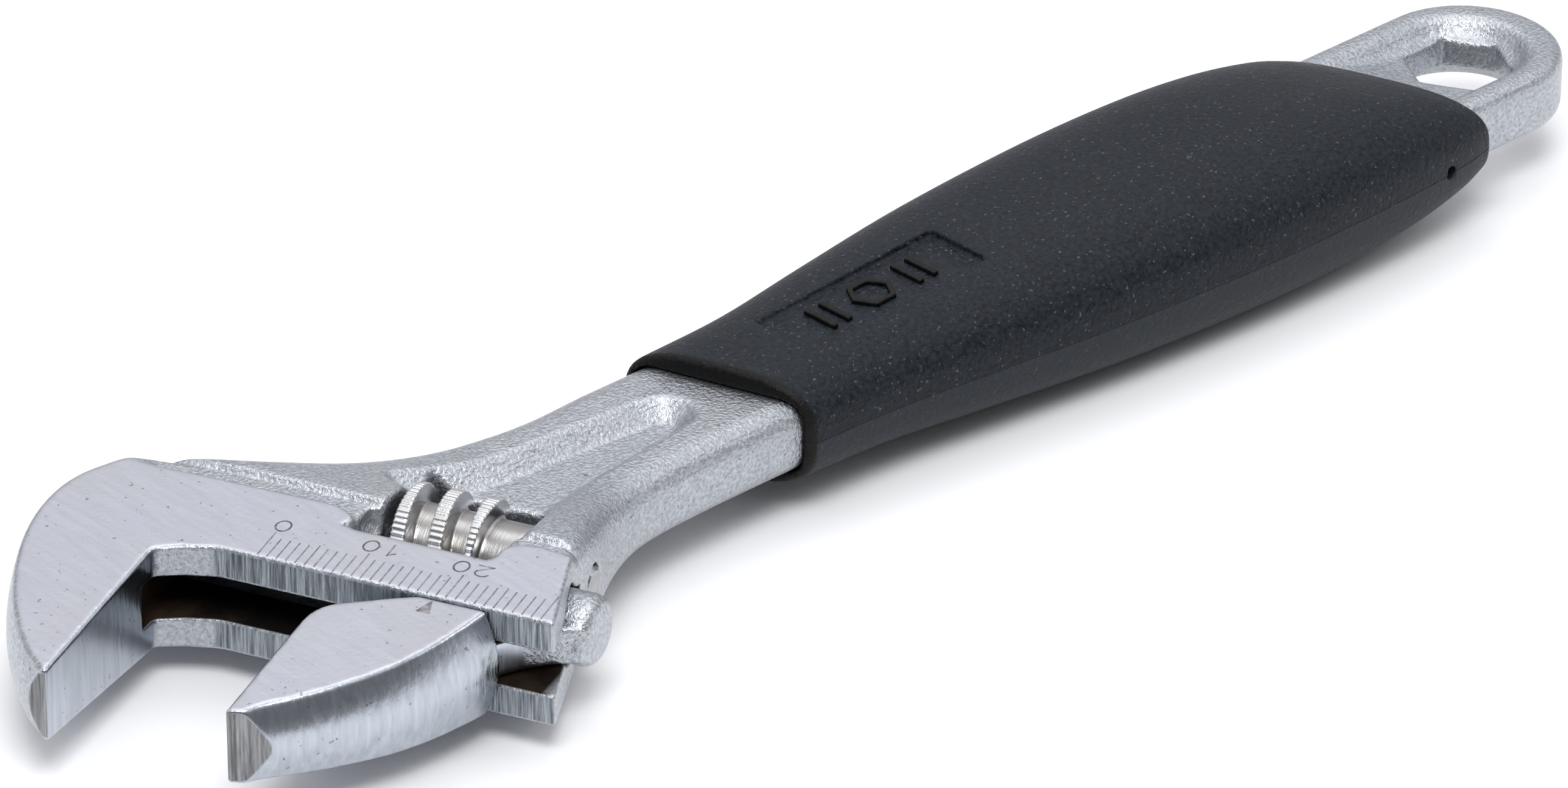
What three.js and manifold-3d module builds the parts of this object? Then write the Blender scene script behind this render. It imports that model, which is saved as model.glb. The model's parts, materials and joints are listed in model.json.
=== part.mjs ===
// Adjustable wrench, 8 inch class: a forged body with a fixed jaw, a sliding jaw on a round rack,
// the worm that drives the rack, its pin and spring, and a rubber grip. Millimetres, +Z up.
import * as THREE from 'three';
import { mergeVertices } from 'three/addons/utils/BufferGeometryUtils.js';
import Module from 'manifold-3d';

const wasm = await Module();
wasm.setup();

// ---- Driving dimensions --------------------------------------------------------------------
// Handle frame: x runs from the head to the hanging end, y to the fixed-jaw side, z = 0 in the
// middle of the forging, and the origin is the centre of the rounded hanging end.
const END_RADIUS = 10.3;
const END_HALF = 3.5;
const SHANK_HALF_WIDTH = 9.1;
const SHANK_HALF_HEIGHT = 4.0;
const TANG_HALF_WIDTH = 8.4;
const WEB_FLOOR = 2.1;
const END_WEB_HALF = 1.6;
const HOLE_CENTRE_X = -1.1;
const HOLE_RADIUS = 5.9;

// Head frame: u is the way the sliding jaw opens, n runs from the jaw tips back to the handle,
// and the origin is the zero mark on the front edge of the head.
const HEAD_AT = new THREE.Vector2(-166.7, 3.4);
const JAW_ANGLE = THREE.MathUtils.degToRad(22.6);
const FACE_HALF = 5.76;
const FACE_TAPER = 0.074;
const JAW_FACE_U = -9.9;
const JAW_TIP_N = -24.3;
const HEAD_END_U = 31.5;
const PAD_BACK_N = 11.0;
const CREST_N = 13.8;
const CREST_HALF = 6.5;

const OPENING = 18.7;
const SLOT_HALF = 2.3;
const SLOT_START_U = -11.5;
const SLOT_FRONT_N = -4.8;
const WEB_HALF = 2.0;
const RAIL_N = 9.2;
const RAIL_RADIUS = 3.6;
const RAIL_START_U = 4.5;
const RAIL_END_U = 32.2;
const BORE_RADIUS = 3.95;
const BORE_END_U = -14.7;

const WORM_N = 17.3;
const WORM_RADIUS = 6.1;
const WORM_ROOT = 4.2;
const WORM_LEAD = 4.0;
const WORM_LAND = 1.4;
const WORM_FLANK = 0.4;
const THREAD_PHASE_U = 7.3;
const WORM_START_U = 7.9;
const THREAD_END_U = 16.9;
const WORM_END_U = 20.8;
const WINDOW_START_U = 7.2;
const WINDOW_END_U = 21.3;
const WINDOW_FRONT_N = 7.8;
const WINDOW_BACK_N = 23.9;

const PIN_RADIUS = 1.7;
const PIN_HOLE_RADIUS = 2.05;
const PIN_START_U = 2.0;
const PIN_END_U = 27.7;
const SPRING_RADIUS = 2.35;
const SPRING_WIRE_RADIUS = 0.25;
const SPRING_TURNS = 4;
const SPRING_SEAT_RADIUS = 2.95;
const SPRING_SEAT_DEPTH = 3.4;

const GRIP_FRONT_X = -109.5;
const GRIP_REAR_X = -14.2;
const GRIP_SLANT = 0.34;
const PANEL_X = -88;
const PANEL_LENGTH = 24.4;
const PANEL_WIDTH = 8;
const PANEL_HEIGHT = 6.4;
const PANEL_TILT = 0.055;

const GAP = 0.3;
const THREAD_CLEARANCE = 0.22;

// ---- Helpers -------------------------------------------------------------------------------
/** A closed three.js geometry as a solid that can be joined and cut. */
function solid(geometry) {
  const bare = geometry.clone();
  bare.deleteAttribute('normal');
  bare.deleteAttribute('uv');
  const merged = mergeVertices(bare, 1e-4);
  return new wasm.Manifold(new wasm.Mesh({
    numProp: 3,
    vertProperties: new Float32Array(merged.attributes.position.array),
    triVerts: new Uint32Array(merged.index.array),
  }));
}

/** The solid's triangles as a flat-shaded three.js geometry. */
function geometryOf(body) {
  const mesh = body.getMesh();
  const indexed = new THREE.BufferGeometry();
  indexed.setAttribute('position', new THREE.BufferAttribute(new Float32Array(mesh.vertProperties), 3));
  indexed.setIndex(new THREE.BufferAttribute(new Uint32Array(mesh.triVerts), 1));
  const flat = indexed.toNonIndexed();
  flat.computeVertexNormals();
  return flat;
}

/** An outline extruded evenly above and below z = 0, with rounded or chamfered rims. */
function slab(outline, halfHeight, rim = 0, rimSteps = 2, curveSegments = 10) {
  const geometry = new THREE.ExtrudeGeometry(outline, {
    depth: 2 * (halfHeight - rim),
    bevelEnabled: rim > 0,
    bevelThickness: rim,
    bevelSize: rim,
    bevelOffset: -rim,
    bevelSegments: rimSteps,
    curveSegments,
  });
  return geometry.translate(0, 0, rim - halfHeight);
}

/** Continues an outline with a smooth curve through [x, y] points. */
function curveThrough(outline, points) {
  outline.splineThru(points.map(([x, y]) => new THREE.Vector2(x, y)));
}

/** A polygon from [x, y] corners. */
function polygon(corners) {
  return new THREE.Shape(corners.map(([x, y]) => new THREE.Vector2(x, y)));
}

/** A box given by its two opposite corners. */
function boxBetween(low, high) {
  const size = high.map((value, axis) => value - low[axis]);
  const centre = high.map((value, axis) => (value + low[axis]) / 2);
  return new THREE.BoxGeometry(...size).translate(...centre);
}

/** A round bar along u, from one u to another, on the axis at n and mid height. */
function barAlongU(radius, startU, endU, n, sides = 32) {
  const bar = new THREE.CylinderGeometry(radius, radius, endU - startU, sides);
  return bar.rotateZ(-Math.PI / 2).translate((startU + endU) / 2, n, 0);
}

/** An (n, z) section swept straight along u. */
function sweptAlongU(section, startU, endU) {
  const geometry = new THREE.ExtrudeGeometry(section, { depth: endU - startU, bevelEnabled: false });
  return geometry.rotateX(Math.PI / 2).rotateZ(Math.PI / 2).translate(startU, 0, 0);
}

/** Turns a geometry from the head frame into the handle frame. */
function inHead(geometry) {
  return geometry.rotateZ(JAW_ANGLE - Math.PI / 2).translate(HEAD_AT.x, HEAD_AT.y, 0);
}

/** A closed skin through rings of points, with a flat fan over both ends. */
function loft(rings) {
  const positions = [];
  const triangles = [];
  const ringSize = rings[0].length;
  rings.forEach((ring) => ring.forEach((point) => positions.push(point.x, point.y, point.z)));
  for (let ring = 0; ring + 1 < rings.length; ring += 1) {
    for (let index = 0; index < ringSize; index += 1) {
      const next = (index + 1) % ringSize;
      const [a, b] = [ring * ringSize + index, ring * ringSize + next];
      triangles.push(a, b, b + ringSize, a, b + ringSize, a + ringSize);
    }
  }
  const last = (rings.length - 1) * ringSize;
  for (let index = 1; index + 1 < ringSize; index += 1) {
    triangles.push(0, index + 1, index);
    triangles.push(last, last + index, last + index + 1);
  }
  const skin = new THREE.BufferGeometry();
  skin.setAttribute('position', new THREE.Float32BufferAttribute(positions, 3));
  skin.setIndex(triangles);
  return skin;
}

/** Evenly stepped rows along a smooth curve through [x, centreY, halfWidth, halfHeight] rows. */
function smoothSections(rows, steps) {
  const placed = new THREE.CatmullRomCurve3(rows.map(([x, centreY]) => new THREE.Vector3(x, centreY, 0)));
  const sized = new THREE.CatmullRomCurve3(rows.map(([, , width, height]) => new THREE.Vector3(width, height, 0)));
  return Array.from({ length: steps + 1 }, (_, step) => {
    const at = placed.getPoint(step / steps);
    const size = sized.getPoint(step / steps);
    return [at.x, at.y, size.x, size.y];
  });
}

/** A ring of points round x: an oval when squareness is 2, boxier above that, slanted on demand. */
function ovalRing(x, centreY, halfWidth, halfHeight, squareness, slant = 0, sides = 40) {
  const bend = (value) => Math.sign(value) * Math.abs(value) ** (2 / squareness);
  return Array.from({ length: sides }, (_, side) => {
    const angle = (2 * Math.PI * side) / sides;
    const y = centreY + halfWidth * bend(Math.cos(angle));
    return new THREE.Vector3(x - slant * y, y, halfHeight * bend(Math.sin(angle)));
  });
}

const faceHalfAt = (n) => FACE_HALF + FACE_TAPER * n;

// ---- Worm thread -----------------------------------------------------------------------------
/**
 * A right-handed threaded rod along u, made of helical rows: root, flank, land and flank.
 * growth thickens it all over, which turns the worm into the cutter for the rack's teeth.
 */
function threadedRod(startU, endU, growth = 0, stepsPerTurn = 32) {
  const land = WORM_LAND / 2 + growth;
  const foot = land + WORM_FLANK;
  const profile = [
    [-foot, WORM_ROOT + growth],
    [-land, WORM_RADIUS + growth],
    [land, WORM_RADIUS + growth],
    [foot, WORM_ROOT + growth],
  ];
  const firstTurn = Math.floor((startU - THREAD_PHASE_U) / WORM_LEAD) - 1;
  const lastTurn = Math.ceil((endU - THREAD_PHASE_U) / WORM_LEAD) + 1;
  const rows = [];
  for (let turn = firstTurn; turn <= lastTurn; turn += 1) {
    for (const [offset, radius] of profile) rows.push([THREAD_PHASE_U + turn * WORM_LEAD + offset, radius]);
  }
  const positions = [];
  const addPoint = (u, radius, angle) => {
    positions.push(u, radius * Math.cos(angle), radius * Math.sin(angle));
    return positions.length / 3 - 1;
  };
  const grid = rows.map(([u, radius]) => {
    const row = [];
    for (let step = 0; step <= stepsPerTurn; step += 1) {
      const angle = (2 * Math.PI * step) / stepsPerTurn;
      row.push(addPoint(u + (WORM_LEAD * step) / stepsPerTurn, radius, angle));
    }
    return row;
  });
  const triangles = [];
  const quad = (a, b, c, d) => triangles.push(a, c, b, a, d, c);
  for (let row = 0; row + 1 < grid.length; row += 1) {
    for (let step = 0; step < stepsPerTurn; step += 1) {
      quad(grid[row][step], grid[row + 1][step], grid[row + 1][step + 1], grid[row][step + 1]);
    }
  }
  // The last turn of every row lies on the first of the row one lead on, so both ends are left
  // with a helical rim and a step of one lead; a fan to the axis closes each of them.
  const closeEnd = (rim, centreU, facesBack) => {
    const centre = addPoint(centreU, 0, 0);
    rim.forEach((point, index) => {
      const next = rim[(index + 1) % rim.length];
      if (facesBack) triangles.push(centre, next, point);
      else triangles.push(centre, point, next);
    });
  };
  const perTurn = profile.length;
  const startStep = Array.from({ length: perTurn + 1 }, (_, index) => grid[index][0]);
  const endStep = Array.from({ length: perTurn + 1 }, (_, index) => (
    grid[grid.length - perTurn - 1 + index][stepsPerTurn]));
  const startRim = [...grid[0], ...startStep.slice(1, -1).reverse()];
  const endRim = [...grid[grid.length - 1], ...endStep.slice(1, -1).reverse()];
  closeEnd(startRim, rows[0][0] + WORM_LEAD / 2, true);
  closeEnd(endRim, rows[rows.length - 1][0] + WORM_LEAD / 2, false);
  const rod = new THREE.BufferGeometry();
  rod.setAttribute('position', new THREE.Float32BufferAttribute(positions, 3));
  rod.setIndex(triangles);
  return rod.translate(0, WORM_N, 0);
}

/** The worm: a threaded rod turned down to a hub at both ends, bored for the pin and the spring. */
function wormGeometry() {
  const rod = solid(threadedRod(WORM_START_U, THREAD_END_U));
  const rimChamfer = 0.4;
  const blank = [
    [0, WORM_START_U],
    [WORM_RADIUS - rimChamfer, WORM_START_U],
    [WORM_RADIUS + GAP, WORM_START_U + rimChamfer + GAP],
    [WORM_RADIUS + GAP, THREAD_END_U],
    [0, THREAD_END_U],
  ].map(([radius, u]) => new THREE.Vector2(radius, u));
  const threads = rod.intersect(solid(turnedAlongU(blank)));
  const hub = solid(barAlongU(WORM_ROOT, WORM_START_U, WORM_END_U, WORM_N, 48));
  const bore = solid(barAlongU(PIN_RADIUS + GAP, WORM_START_U - 1, WORM_END_U + 1, WORM_N));
  const seat = solid(barAlongU(
    SPRING_SEAT_RADIUS, WORM_END_U - SPRING_SEAT_DEPTH, WORM_END_U + 1, WORM_N));
  return geometryOf(threads.add(hub).subtract(bore).subtract(seat));
}

/** A turned piece whose axis is the worm's: the profile gives radius and u. */
function turnedAlongU(profile, sides = 48) {
  const turned = new THREE.LatheGeometry(profile, sides);
  return turned.rotateZ(-Math.PI / 2).translate(0, WORM_N, 0);
}

/** The plain steel pin that the worm turns on, with chamfered ends. */
function pinGeometry() {
  const chamfer = 0.35;
  const profile = [
    [0, PIN_START_U],
    [PIN_RADIUS - chamfer, PIN_START_U],
    [PIN_RADIUS, PIN_START_U + chamfer],
    [PIN_RADIUS, PIN_END_U - chamfer],
    [PIN_RADIUS - chamfer, PIN_END_U],
    [0, PIN_END_U],
  ].map(([radius, u]) => new THREE.Vector2(radius, u));
  return turnedAlongU(profile, 24);
}

/** The small coil spring in the worm's end that takes up the play. */
function springGeometry() {
  class Coil extends THREE.Curve {
    getPoint(t, target = new THREE.Vector3()) {
      const angle = 2 * Math.PI * SPRING_TURNS * t;
      const start = WORM_END_U - SPRING_SEAT_DEPTH + SPRING_WIRE_RADIUS + GAP;
      const end = WINDOW_END_U - SPRING_WIRE_RADIUS - GAP / 2;
      return target.set(
        start + (end - start) * t,
        WORM_N + SPRING_RADIUS * Math.cos(angle),
        SPRING_RADIUS * Math.sin(angle),
      );
    }
  }
  const wire = new THREE.Shape().absarc(0, 0, SPRING_WIRE_RADIUS, 0, 2 * Math.PI);
  return new THREE.ExtrudeGeometry(wire, {
    extrudePath: new Coil(), steps: SPRING_TURNS * 16, curveSegments: 3, bevelEnabled: false,
  });
}

// ---- Body ------------------------------------------------------------------------------------
/** The (n, z) section that gives the head its thickness: tapering ground faces, then the shoulder. */
function thicknessSection() {
  const tipN = JAW_TIP_N - 3;
  const channelHalf = faceHalfAt(PAD_BACK_N) - 0.6;
  const upper = [
    [tipN, faceHalfAt(tipN)],
    [PAD_BACK_N, faceHalfAt(PAD_BACK_N)],
    [PAD_BACK_N + 0.3, channelHalf],
    [CREST_N - 0.5, channelHalf],
    [CREST_N, CREST_HALF],
    [CREST_N + 10, SHANK_HALF_HEIGHT + 0.3],
    [CREST_N + 30, SHANK_HALF_HEIGHT - 0.5],
  ];
  const lower = upper.map(([n, z]) => [n, -z]).reverse();
  return polygon([...upper, ...lower]);
}

/** The head's outline in the head frame, from the fixed jaw's tip round to the shank. */
function headOutline() {
  const outline = new THREE.Shape();
  outline.moveTo(JAW_FACE_U, JAW_TIP_N);
  outline.lineTo(JAW_FACE_U, -2.6);
  outline.lineTo(-7.3, -1.1);
  outline.lineTo(-3.6, 0);
  outline.lineTo(HEAD_END_U, 0);
  outline.lineTo(28.4, 10.6);
  curveThrough(outline, [[27.9, 17], [26.6, 26], [27.6, 35.5]]);
  outline.lineTo(12, 40);
  curveThrough(outline, [[7.6, 32.6], [0.4, 23.4], [-7.2, 18], [-13.4, 15.8], [-17.6, 13.3]]);
  curveThrough(outline, [[-22.6, 8.1], [-24.6, 1.2], [-21.9, -10.5], [-17.6, -18], [-11.2, -24.9]]);
  return outline;
}

/** The shank from the head to just inside the grip, grown all round by a margin. */
function shankGeometry(margin = 0) {
  const sections = smoothSections([
    [-142, -1.6, 14.5, 5],
    [-136, -1, 12.4, 4.6],
    [-128, -0.2, 9.9, 4.2],
    [-119, 0, SHANK_HALF_WIDTH, SHANK_HALF_HEIGHT],
    [-104 + margin, 0, SHANK_HALF_WIDTH, SHANK_HALF_HEIGHT],
  ], 10);
  return loft(sections.map(([x, centreY, halfWidth, halfHeight]) => (
    ovalRing(x, centreY, halfWidth + margin, halfHeight + margin, 5))));
}

/** The flat tang inside the grip and the rounded hanging end, grown all round by a margin. */
function tangOutline(margin = 0) {
  const halfWidth = TANG_HALF_WIDTH + margin;
  const endRadius = END_RADIUS + margin;
  const outline = new THREE.Shape();
  outline.moveTo(-112, -halfWidth);
  outline.lineTo(-32, -halfWidth);
  outline.lineTo(-20 - margin, -endRadius);
  outline.absarc(0, 0, endRadius, -Math.PI / 2, Math.PI / 2);
  outline.lineTo(-20 - margin, endRadius);
  outline.lineTo(-32, halfWidth);
  outline.lineTo(-112, halfWidth);
  return outline;
}

/** A sunk panel's cutter: narrow at its floor, widening upwards with the sloping walls. */
function pocketCutter(floorOutline, floorHeight, wallRun, wallRise) {
  const cutter = new THREE.ExtrudeGeometry(floorOutline, {
    depth: 8,
    bevelThickness: wallRise,
    bevelSize: wallRun,
    bevelSegments: 1,
    curveSegments: 8,
  });
  return cutter.translate(0, 0, floorHeight + wallRise);
}

/** The long pocket along the shank that leaves a thin web between two flanges. */
function shankPocketOutline() {
  const outline = new THREE.Shape();
  outline.moveTo(-141, -7.8);
  curveThrough(outline, [[-134, -5.2], [-126, -3.8], [-118, -2.9]]);
  outline.absarc(-118, 0, 2.9, -Math.PI / 2, Math.PI / 2);
  curveThrough(outline, [[-125, 3.3], [-133, 3.7], [-142, 5.2]]);
  return outline;
}

/** The recess round the hanging hole, running in under the grip. */
function endRecessOutline() {
  const radius = 5.9;
  const outline = new THREE.Shape();
  outline.moveTo(-20, -radius);
  outline.absarc(-1, 0, radius, -Math.PI / 2, Math.PI / 2);
  outline.lineTo(-20, radius);
  return outline;
}

/** The six-sided hanging hole, with two flats along the handle. */
function hangingHoleOutline() {
  const corners = Array.from({ length: 6 }, (_, index) => (index * Math.PI) / 3);
  return polygon(corners.map((angle) => [
    HOLE_CENTRE_X + HOLE_RADIUS * Math.cos(angle), HOLE_RADIUS * Math.sin(angle)]));
}

/** The opening through the head that holds the worm, with its rounded relief at the jaw end. */
function windowOutline() {
  const reliefU = 5.4;
  const reliefN = 13.6;
  const corner = 1.4;
  const outline = new THREE.Shape();
  outline.moveTo(reliefU, WINDOW_FRONT_N);
  outline.lineTo(WINDOW_END_U, WINDOW_FRONT_N);
  outline.lineTo(WINDOW_END_U, WINDOW_BACK_N);
  outline.lineTo(WINDOW_START_U, WINDOW_BACK_N);
  outline.lineTo(WINDOW_START_U, reliefN);
  outline.absarc(reliefU + corner, reliefN - corner, corner, Math.PI / 2, Math.PI);
  return outline;
}

/** The forged body: head with the fixed jaw, shank, tang and hanging end in one piece. */
function bodyGeometry() {
  const head = solid(inHead(slab(headOutline(), 9)))
    .intersect(solid(inHead(sweptAlongU(thicknessSection(), -30, 40))));
  const shank = solid(shankGeometry());
  const tang = solid(slab(tangOutline(), END_HALF, 0.8, 1));
  let body = head.add(shank).add(tang);

  const shankPocket = pocketCutter(shankPocketOutline(), WEB_FLOOR, 1.3, 2.2);
  const endRecess = pocketCutter(endRecessOutline(), END_WEB_HALF, 1.4, END_HALF - END_WEB_HALF);
  for (const pocket of [shankPocket, endRecess]) {
    body = body.subtract(solid(pocket)).subtract(solid(mirroredBelow(pocket)));
  }
  const cutters = [
    slab(hangingHoleOutline(), 6),
    inHead(slab(windowOutline(), 12)),
    inHead(boxBetween([SLOT_START_U, SLOT_FRONT_N, -SLOT_HALF], [40, RAIL_N, SLOT_HALF])),
    inHead(barAlongU(BORE_RADIUS, BORE_END_U, 40, RAIL_N)),
    inHead(barAlongU(PIN_HOLE_RADIUS, PIN_START_U - GAP, 40, WORM_N, 24)),
  ];
  for (const cutter of cutters) body = body.subtract(solid(cutter));
  return geometryOf(body);
}

/** The same cutter for the underside of the wrench. */
function mirroredBelow(geometry) {
  const mirrored = geometry.clone();
  const position = mirrored.attributes.position;
  for (let index = 0; index < position.count; index += 3) {
    const corners = [0, 1, 2].map((offset) => (
      new THREE.Vector3().fromBufferAttribute(position, index + offset)));
    corners.reverse().forEach(({ x, y, z }, offset) => position.setXYZ(index + offset, x, y, -z));
  }
  return mirrored;
}

// ---- Sliding jaw -----------------------------------------------------------------------------
/** The jaw's outline in front of the head: flat gripping face, curved outer side. */
function jawOutline() {
  const faceU = JAW_FACE_U + OPENING;
  const outline = new THREE.Shape();
  outline.moveTo(faceU, JAW_TIP_N);
  outline.lineTo(faceU + 1.6, JAW_TIP_N + 0.5);
  curveThrough(outline, [[faceU + 6.4, -20], [20.6, -12], [23.6, -4.6], [24.5, -GAP]]);
  outline.lineTo(17.7, -GAP);
  outline.lineTo(11, -4);
  outline.lineTo(faceU, -7);
  return outline;
}

/** The web that joins the jaw to its rack through the slot in the head. */
function webOutline() {
  const faceU = JAW_FACE_U + OPENING;
  const outline = new THREE.Shape();
  outline.moveTo(faceU, -10);
  outline.lineTo(20, -8);
  curveThrough(outline, [[25.4, 0.4], [29, 3.4], [RAIL_END_U - 0.6, 4.8]]);
  outline.lineTo(RAIL_END_U, RAIL_N);
  outline.lineTo(faceU, RAIL_N);
  return outline;
}

/** The sliding jaw with its web and round rack, toothed to fit the worm. */
function jawGeometry() {
  const jaw = solid(slab(jawOutline(), 9)).intersect(solid(sweptAlongU(thicknessSection(), 0, 40)));
  const web = solid(slab(webOutline(), WEB_HALF));
  const rail = solid(barAlongU(RAIL_RADIUS, RAIL_START_U, RAIL_END_U, RAIL_N));
  const teethCutter = solid(threadedRod(RAIL_START_U - 6, RAIL_END_U + 6, THREAD_CLEARANCE));
  return geometryOf(jaw.add(web).add(rail).subtract(teethCutter));
}

// ---- Grip ------------------------------------------------------------------------------------
/** The rubber grip: slim at the shank, full under the palm, with a sunk label panel. */
function gripGeometry() {
  const sections = smoothSections([
    [GRIP_FRONT_X, 0, 9.7, 5.5],
    [GRIP_FRONT_X + 1, 0, 10.2, 6],
    [-97, 0, 10.7, 6.3],
    [-84, 0, 12.3, 7.1],
    [-68, 0, 14.1, 8.1],
    [-50, 0, 15.2, 8.8],
    [-36, 0, 15.2, 8.7],
    [-26, 0, 14.8, 7.9],
    [GRIP_REAR_X - 4.5, 0, 14, 6.5],
    [GRIP_REAR_X - 0.9, 0, 13.2, 5.3],
    [GRIP_REAR_X, 0, 12.2, 4.5],
  ], 30);
  const sleeve = solid(loft(sections.map(([x, centreY, halfWidth, halfHeight]) => (
    ovalRing(x, centreY, halfWidth, halfHeight, 2.6, GRIP_SLANT)))));
  const tangSpace = solid(slab(tangOutline(GAP), END_HALF + GAP));
  const shankSpace = solid(shankGeometry(GAP));
  const [halfLength, halfWidth] = [PANEL_LENGTH / 2, PANEL_WIDTH / 2];
  const panel = boxBetween([-halfLength, -halfWidth, 0], [halfLength, halfWidth, 5]);
  panel.rotateY(-PANEL_TILT).translate(PANEL_X, 0, PANEL_HEIGHT);
  return geometryOf(sleeve.subtract(tangSpace).subtract(shankSpace).subtract(solid(panel)));
}

// ---- Assembly --------------------------------------------------------------------------------
const forgedChrome = { color: 0xb4b6bb, metalness: 0.9, roughness: 0.45 };
const polishedSteel = { color: 0xd2cfc8, metalness: 1, roughness: 0.2 };
const blackRubber = { color: 0x25262a, metalness: 0, roughness: 0.75 };

/** A named sub-part with its own material. */
function part(name, geometry, look) {
  const mesh = new THREE.Mesh(geometry, new THREE.MeshStandardMaterial(look));
  mesh.name = name;
  return mesh;
}

const headGroup = new THREE.Group();
headGroup.position.set(HEAD_AT.x, HEAD_AT.y, 0);
headGroup.rotation.z = JAW_ANGLE - Math.PI / 2;
headGroup.add(
  part('movable_jaw', jawGeometry(), forgedChrome),
  part('worm', wormGeometry(), polishedSteel),
  part('worm_pin', pinGeometry(), polishedSteel),
  part('worm_spring', springGeometry(), polishedSteel),
);

const wrench = new THREE.Group();
wrench.add(
  part('body', bodyGeometry(), forgedChrome),
  part('grip', gripGeometry(), blackRubber),
  headGroup,
);

// The wrench lies flat: its box is centred over the origin, with its underside at z = 0.
const bounds = new THREE.Box3().setFromObject(wrench, true);
const middle = bounds.getCenter(new THREE.Vector3());
wrench.position.set(-middle.x, -middle.y, -bounds.min.z);

export default wrench;
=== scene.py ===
"""Looks of the adjustable wrench: forged satin chrome, polished worm, black rubber grip.

The CAD pieces with forged or moulded shapes are replaced by finer ones, each modelled as a
distance field in millimetres and meshed here; the pin and the spring keep their CAD shape.
"""
import json
import math

import bpy
import numpy as np
from mathutils import Matrix, Vector


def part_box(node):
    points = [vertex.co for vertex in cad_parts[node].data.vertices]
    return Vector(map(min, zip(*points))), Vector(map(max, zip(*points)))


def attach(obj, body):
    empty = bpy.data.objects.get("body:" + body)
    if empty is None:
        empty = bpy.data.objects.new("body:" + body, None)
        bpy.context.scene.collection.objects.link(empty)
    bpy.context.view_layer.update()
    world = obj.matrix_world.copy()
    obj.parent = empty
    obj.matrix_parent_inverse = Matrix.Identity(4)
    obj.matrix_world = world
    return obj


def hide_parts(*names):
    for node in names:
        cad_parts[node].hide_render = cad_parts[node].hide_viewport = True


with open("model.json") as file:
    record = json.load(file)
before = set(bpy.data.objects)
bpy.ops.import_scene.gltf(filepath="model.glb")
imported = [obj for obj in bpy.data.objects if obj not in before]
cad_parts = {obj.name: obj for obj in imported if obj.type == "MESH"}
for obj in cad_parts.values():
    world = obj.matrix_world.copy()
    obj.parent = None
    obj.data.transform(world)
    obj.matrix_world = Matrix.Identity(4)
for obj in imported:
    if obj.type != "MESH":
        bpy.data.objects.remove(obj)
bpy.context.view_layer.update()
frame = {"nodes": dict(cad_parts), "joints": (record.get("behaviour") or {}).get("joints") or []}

MM = 0.001

# ---- Frames ------------------------------------------------------------------------------------
# Head frame: u is the way the jaw opens, n runs back to the handle, z = 0 in mid-thickness, and
# the origin is the scale's zero mark. Handle frame: x along the handle, y to the fixed jaw, and
# the origin is the centre of the hanging end. Both in millimetres.
JOINTS = {joint["name"]: joint for joint in frame["joints"]}
U_AXIS = Vector(JOINTS["jaw_slide"]["axis"]).normalized()
N_AXIS = Vector((-U_AXIS.y, U_AXIS.x, 0))
Z_AXIS = Vector((0, 0, 1))
WORM_CENTRE = Vector(JOINTS["worm_spin"]["pos_m"]) / MM
WORM_MIDDLE_U = 14.0
WORM_N = 17.3
HEAD_ORIGIN = WORM_CENTRE - WORM_MIDDLE_U * U_AXIS - WORM_N * N_AXIS
END_RADIUS = 10.3
GRIP_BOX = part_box("grip")
END_ORIGIN = Vector((
    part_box("body")[1].x / MM - END_RADIUS, (GRIP_BOX[0].y + GRIP_BOX[1].y) / 2 / MM, WORM_CENTRE.z))
HEAD_IN_HANDLE = HEAD_ORIGIN - END_ORIGIN


def head_to_row(points):
    """Points of the head frame, in metres of the row frame."""
    axes = np.array([U_AXIS, N_AXIS, Z_AXIS])
    return (points @ axes + np.array(HEAD_ORIGIN)) * MM


def handle_to_row(points):
    """Points of the handle frame, in metres of the row frame."""
    return (points + np.array(END_ORIGIN)) * MM


def head_of_handle(x, y):
    """Handle coordinates as head coordinates."""
    dx, dy = x - HEAD_IN_HANDLE.x, y - HEAD_IN_HANDLE.y
    return U_AXIS.x * dx + U_AXIS.y * dy, N_AXIS.x * dx + N_AXIS.y * dy


def handle_of_head(u, n):
    """Head coordinates as handle coordinates."""
    return (HEAD_IN_HANDLE.x + U_AXIS.x * u + N_AXIS.x * n,
            HEAD_IN_HANDLE.y + U_AXIS.y * u + N_AXIS.y * n)


# ---- Driving dimensions (mm) -------------------------------------------------------------------
FACE_HALF = 5.76
FACE_TAPER = 0.074
JAW_FACE_U = -9.9
OPENING = 18.7
TIP_N = (-24.6, -24.2)
TIP_SLOPE = (-0.18, 0.3)
FIXED_JAW_CROWN = 0.9
SLIDING_JAW_CROWN = 1.5
HEAD_END_U = 31.5

SLOT_HALF = 2.3
SLOT_START_U = -11.5
SLOT_FRONT_N = -4.8
WEB_HALF = 2.0
RAIL_N = 9.2
RAIL_RADIUS = 3.6
RAIL_START_U, RAIL_END_U = 4.5, 32.2
BORE_RADIUS = 3.95
BORE_END_U = -14.7

CREST_N = 13.8
CHANNEL_DEPTH = 0.62
WINDOW_U = (7.2, 21.3)
WINDOW_N = (7.8, 23.9)
WORM_RADIUS, WORM_ROOT, WORM_LEAD = 6.1, 4.2, 4.0
WORM_LAND, WORM_FLANK = 1.4, 0.4
THREAD_PHASE_U = 7.3
WORM_START_U, THREAD_END_U, WORM_END_U = 7.9, 16.9, 20.8
WORM_BORE_RADIUS = 2.0
SPRING_SEAT_RADIUS, SPRING_SEAT_DEPTH = 2.95, 3.4
KNURL_TEETH, KNURL_DEPTH = 62, 0.16
TOOTH_GAP = 0.22
PIN_HOLE_RADIUS, PIN_HOLE_END_U = 2.05, 1.7

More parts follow.
